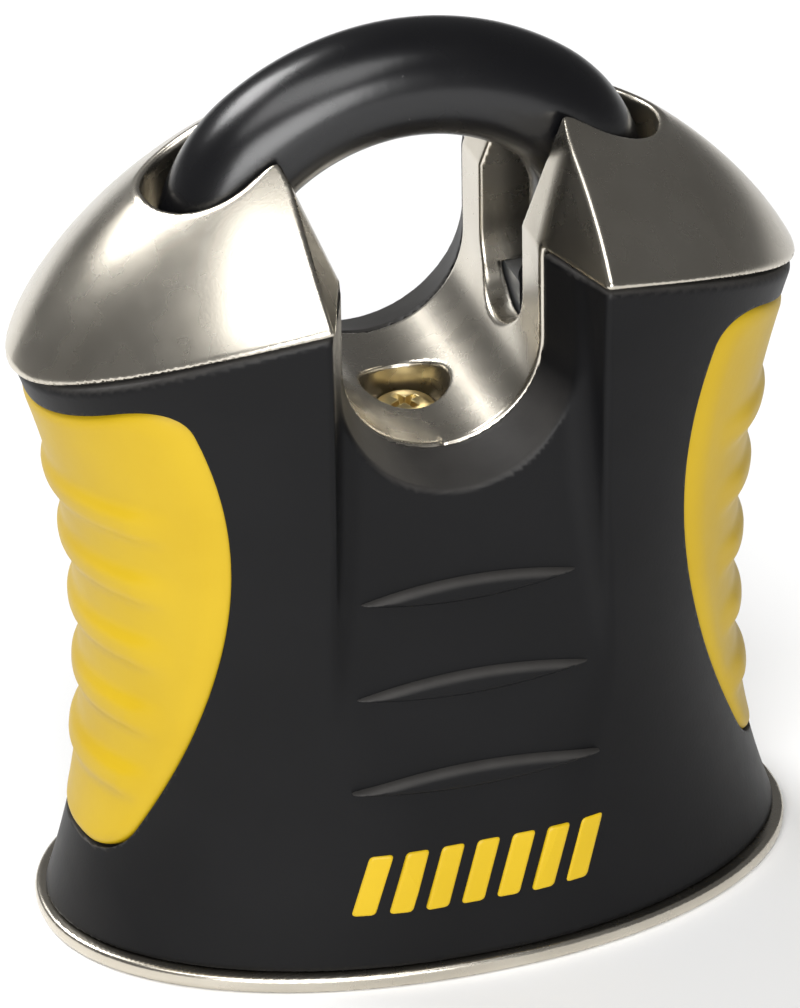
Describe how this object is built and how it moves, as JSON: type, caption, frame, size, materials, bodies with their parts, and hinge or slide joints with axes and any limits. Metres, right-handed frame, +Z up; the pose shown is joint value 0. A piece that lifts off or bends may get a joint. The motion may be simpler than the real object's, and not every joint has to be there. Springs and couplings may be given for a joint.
{
  "type": "closed-shackle padlock",
  "caption": "Closed-shackle key padlock: nickel shroud with a saddle gap, black jacket, yellow side grips, lifting black shackle and turning cylinder.",
  "frame": {"origin": "centre of the underside", "axes": "+X across the width, -Y towards the front with the ribbed panel, +Z up along the shackle legs"},
  "size_m": [0.0874, 0.0524, 0.1021],
  "materials": {
    "shackle_black": "semi-gloss black coat on hardened steel",
    "nickel": "satin nickel plate on cast zinc",
    "jacket_black": "fine matt texture",
    "grip_yellow": "matt moulded rubber",
    "inlay_yellow": "filled colour",
    "body_steel": "machined",
    "screw_steel": "plated",
    "screw_zinc": "yellow zinc plate",
    "brass": "machined",
    "pin_brass": "machined",
    "spring_steel": "drawn wire",
    "hard_steel": "hardened",
    "ball_steel": "polished"
  },
  "bodies": {
    "body": {"shroud": "nickel", "jacket": "jacket_black", "core": "body_steel", "grip_left": "grip_yellow", "grip_right": "grip_yellow", "base_plate": "nickel", "base_screws": "screw_steel", "saddle_screw": "screw_zinc", "inlay": "inlay_yellow", "cylinder_shell": "brass", "driver_pins": "pin_brass", "pin_springs": "spring_steel", "chamber_strip": "brass", "heel_stop_pin": "hard_steel", "shackle_spring": "spring_steel"},
    "shackle": {"shackle": "shackle_black"},
    "plug": {"plug": "brass", "key_pins": "pin_brass", "cam": "hard_steel", "plug_clip": "spring_steel"},
    "ball_left": {"ball_left": "ball_steel"},
    "ball_right": {"ball_right": "ball_steel"}
  },
  "joints": [
    {"name": "shackle_lift", "type": "slide", "parent": "body", "child": "shackle", "axis": [0, 0, 1], "range_m": [0, 0.0525]},
    {"name": "plug_turn", "type": "hinge", "parent": "body", "child": "plug", "pos_m": [0, 0, 0.02], "axis": [0, 0, 1], "range_deg": [0, 90]},
    {"name": "ball_left_slide", "type": "slide", "parent": "body", "child": "ball_left", "axis": [-1, 0, 0], "range_m": [0, 0.00285]},
    {"name": "ball_right_slide", "type": "slide", "parent": "body", "child": "ball_right", "axis": [1, 0, 0], "range_m": [0, 0.00285]}
  ],
  "couplings": [
    {"joint": "ball_left_slide", "follows": "plug_turn", "m_per_rad": 0.0017825},
    {"joint": "ball_right_slide", "follows": "plug_turn", "m_per_rad": 0.0017825}
  ]
}
